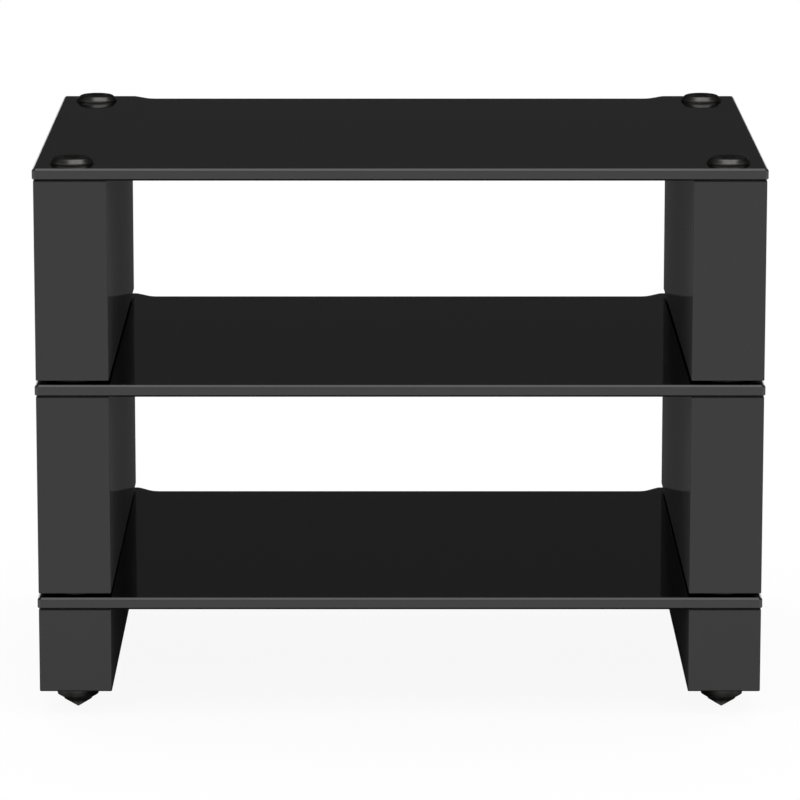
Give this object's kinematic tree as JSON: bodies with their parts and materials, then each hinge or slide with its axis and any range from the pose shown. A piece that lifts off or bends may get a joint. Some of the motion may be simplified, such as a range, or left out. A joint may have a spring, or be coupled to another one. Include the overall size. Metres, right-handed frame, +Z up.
{
  "type": "audio equipment rack",
  "caption": "Open equipment rack of stacked modules, each a black glass shelf on two full-depth side columns that stand on spikes.",
  "frame": {"origin": "on the floor under the middle of the rack, at the level of the spike tips", "axes": "+X to the right seen from the front, +Y to the back, +Z up"},
  "size_m": [0.6, 0.43, 0.4641],
  "materials": {
    "black_glass": "polished toughened black glass",
    "black_lacquer": "high gloss black lacquer on fibreboard",
    "dark_chrome": "dark chrome plate on turned steel",
    "zinc_plate": "zinc plated"
  },
  "bodies": {
    "base_module": {"base_shelf": "black_glass", "base_column_left": "black_lacquer", "base_column_right": "black_lacquer", "base_seat_front_left": "dark_chrome", "base_seat_insert_front_left": "zinc_plate", "base_spike_insert_front_left": "zinc_plate", "base_seat_front_right": "dark_chrome", "base_seat_insert_front_right": "zinc_plate", "base_spike_insert_front_right": "zinc_plate", "base_seat_rear_left": "dark_chrome", "base_seat_insert_rear_left": "zinc_plate", "base_spike_insert_rear_left": "zinc_plate", "base_seat_rear_right": "dark_chrome", "base_seat_insert_rear_right": "zinc_plate", "base_spike_insert_rear_right": "zinc_plate"},
    "middle_module": {"middle_shelf": "black_glass", "middle_column_left": "black_lacquer", "middle_column_right": "black_lacquer", "middle_seat_front_left": "dark_chrome", "middle_seat_insert_front_left": "zinc_plate", "middle_spike_insert_front_left": "zinc_plate", "middle_seat_front_right": "dark_chrome", "middle_seat_insert_front_right": "zinc_plate", "middle_spike_insert_front_right": "zinc_plate", "middle_seat_rear_left": "dark_chrome", "middle_seat_insert_rear_left": "zinc_plate", "middle_spike_insert_rear_left": "zinc_plate", "middle_seat_rear_right": "dark_chrome", "middle_seat_insert_rear_right": "zinc_plate", "middle_spike_insert_rear_right": "zinc_plate"},
    "top_module": {"top_shelf": "black_glass", "top_column_left": "black_lacquer", "top_column_right": "black_lacquer", "top_seat_front_left": "dark_chrome", "top_seat_insert_front_left": "zinc_plate", "top_spike_insert_front_left": "zinc_plate", "top_seat_front_right": "dark_chrome", "top_seat_insert_front_right": "zinc_plate", "top_spike_insert_front_right": "zinc_plate", "top_seat_rear_left": "dark_chrome", "top_seat_insert_rear_left": "zinc_plate", "top_spike_insert_rear_left": "zinc_plate", "top_seat_rear_right": "dark_chrome", "top_seat_insert_rear_right": "zinc_plate", "top_spike_insert_rear_right": "zinc_plate"},
    "base_foot_front_left": {"base_spike_front_left": "dark_chrome"},
    "base_foot_front_right": {"base_spike_front_right": "dark_chrome"},
    "base_foot_rear_left": {"base_spike_rear_left": "dark_chrome"},
    "base_foot_rear_right": {"base_spike_rear_right": "dark_chrome"},
    "middle_foot_front_left": {"middle_spike_front_left": "dark_chrome"},
    "middle_foot_front_right": {"middle_spike_front_right": "dark_chrome"},
    "middle_foot_rear_left": {"middle_spike_rear_left": "dark_chrome"},
    "middle_foot_rear_right": {"middle_spike_rear_right": "dark_chrome"},
    "top_foot_front_left": {"top_spike_front_left": "dark_chrome"},
    "top_foot_front_right": {"top_spike_front_right": "dark_chrome"},
    "top_foot_rear_left": {"top_spike_rear_left": "dark_chrome"},
    "top_foot_rear_right": {"top_spike_rear_right": "dark_chrome"}
  },
  "joints": [
    {"name": "middle_module_lift", "type": "slide", "parent": "base_module", "child": "middle_module", "axis": [0, 0, 1], "range_m": [0, 0.06]},
    {"name": "top_module_lift", "type": "slide", "parent": "middle_module", "child": "top_module", "axis": [0, 0, 1], "range_m": [0, 0.06]},
    {"name": "base_foot_front_left_level", "type": "slide", "parent": "base_module", "child": "base_foot_front_left", "axis": [0, 0, -1], "range_m": [-0.0022, 0.01]},
    {"name": "base_foot_front_right_level", "type": "slide", "parent": "base_module", "child": "base_foot_front_right", "axis": [0, 0, -1], "range_m": [-0.0022, 0.01]},
    {"name": "base_foot_rear_left_level", "type": "slide", "parent": "base_module", "child": "base_foot_rear_left", "axis": [0, 0, -1], "range_m": [-0.0022, 0.01]},
    {"name": "base_foot_rear_right_level", "type": "slide", "parent": "base_module", "child": "base_foot_rear_right", "axis": [0, 0, -1], "range_m": [-0.0022, 0.01]},
    {"name": "middle_foot_front_left_level", "type": "slide", "parent": "middle_module", "child": "middle_foot_front_left", "axis": [0, 0, -1], "range_m": [-0.003, 0]},
    {"name": "middle_foot_front_right_level", "type": "slide", "parent": "middle_module", "child": "middle_foot_front_right", "axis": [0, 0, -1], "range_m": [-0.003, 0]},
    {"name": "middle_foot_rear_left_level", "type": "slide", "parent": "middle_module", "child": "middle_foot_rear_left", "axis": [0, 0, -1], "range_m": [-0.003, 0]},
    {"name": "middle_foot_rear_right_level", "type": "slide", "parent": "middle_module", "child": "middle_foot_rear_right", "axis": [0, 0, -1], "range_m": [-0.003, 0]},
    {"name": "top_foot_front_left_level", "type": "slide", "parent": "top_module", "child": "top_foot_front_left", "axis": [0, 0, -1], "range_m": [-0.003, 0]},
    {"name": "top_foot_front_right_level", "type": "slide", "parent": "top_module", "child": "top_foot_front_right", "axis": [0, 0, -1], "range_m": [-0.003, 0]},
    {"name": "top_foot_rear_left_level", "type": "slide", "parent": "top_module", "child": "top_foot_rear_left", "axis": [0, 0, -1], "range_m": [-0.003, 0]},
    {"name": "top_foot_rear_right_level", "type": "slide", "parent": "top_module", "child": "top_foot_rear_right", "axis": [0, 0, -1], "range_m": [-0.003, 0]}
  ]
}
